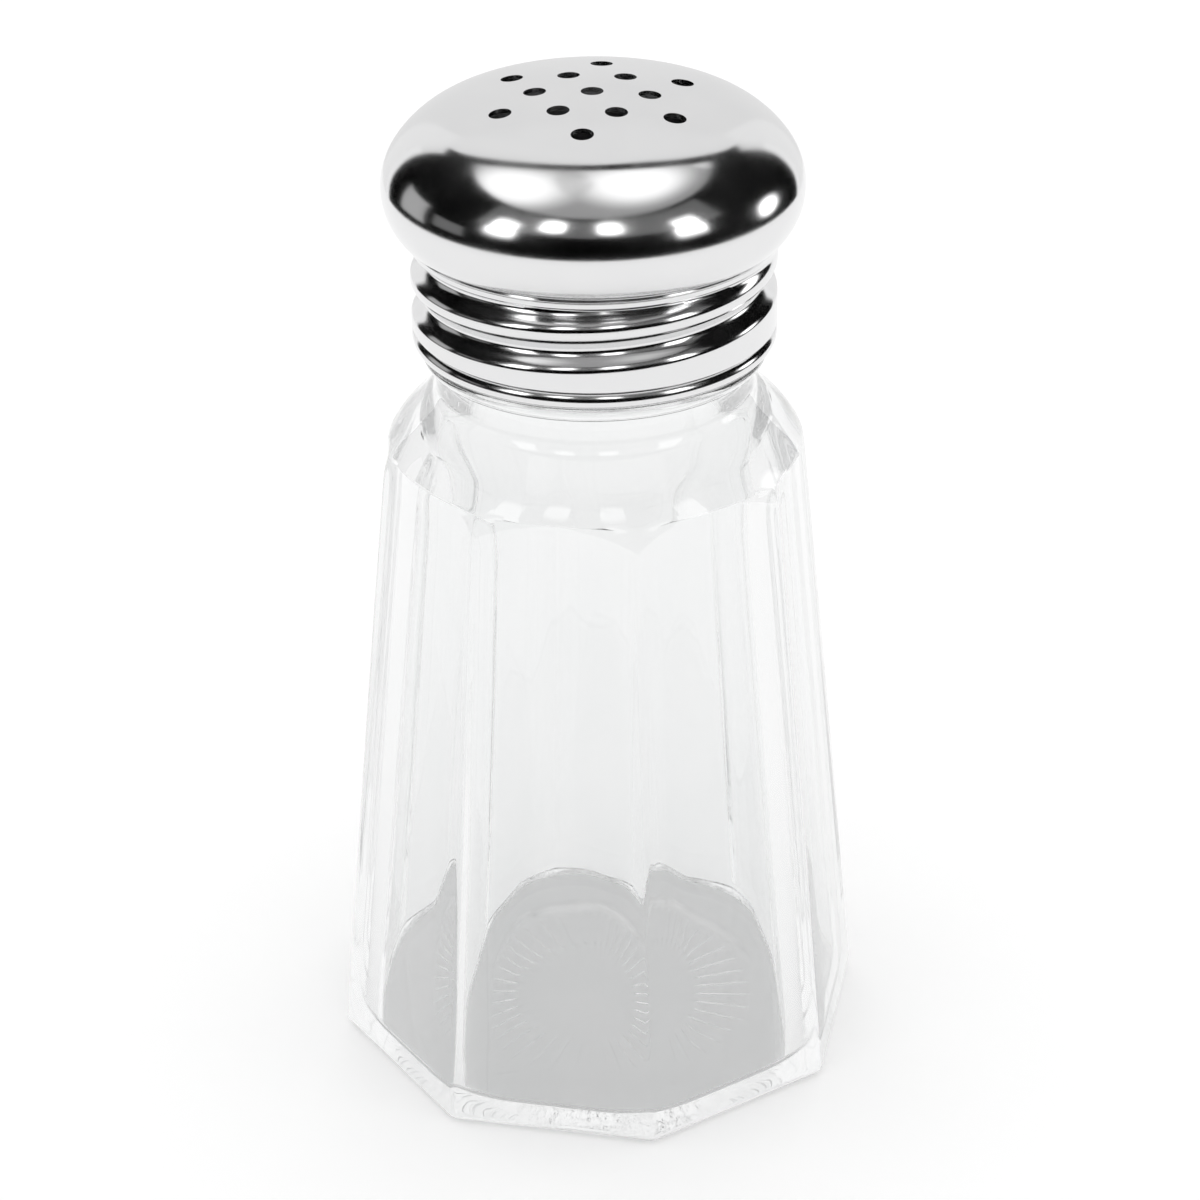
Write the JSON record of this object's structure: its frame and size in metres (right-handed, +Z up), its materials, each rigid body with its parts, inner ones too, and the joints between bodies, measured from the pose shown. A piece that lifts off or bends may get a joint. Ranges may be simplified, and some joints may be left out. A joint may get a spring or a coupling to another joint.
{
  "type": "salt shaker",
  "caption": "Panelled clear glass salt shaker with a screw-on perforated mushroom cap of chromed sheet metal.",
  "frame": {"origin": "middle of the foot, in the plane of the table", "axes": "+Z up along the axis of the neck and cap; one panel of the glass faces -Y"},
  "size_m": [0.0472, 0.0472, 0.0953],
  "materials": {
    "glass": "clear pressed glass, fire polished",
    "chrome": "bright chrome plate on drawn steel sheet"
  },
  "bodies": {
    "jar": {"glass_jar": "glass"},
    "rim": {"cap_rim": "chrome"},
    "cap": {"cap": "chrome"}
  },
  "joints": [
    {"name": "cap_rise", "type": "slide", "parent": "jar", "child": "rim", "axis": [0, 0, 1], "range_m": [0, 0.0114]},
    {"name": "cap_turn", "type": "hinge", "parent": "rim", "child": "cap", "pos_m": [0, 0, 0.0738], "axis": [0, 0, 1], "range_deg": [0, 1080]}
  ],
  "couplings": [
    {"joint": "cap_rise", "follows": "cap_turn", "m_per_rad": 0.00060478}
  ]
}
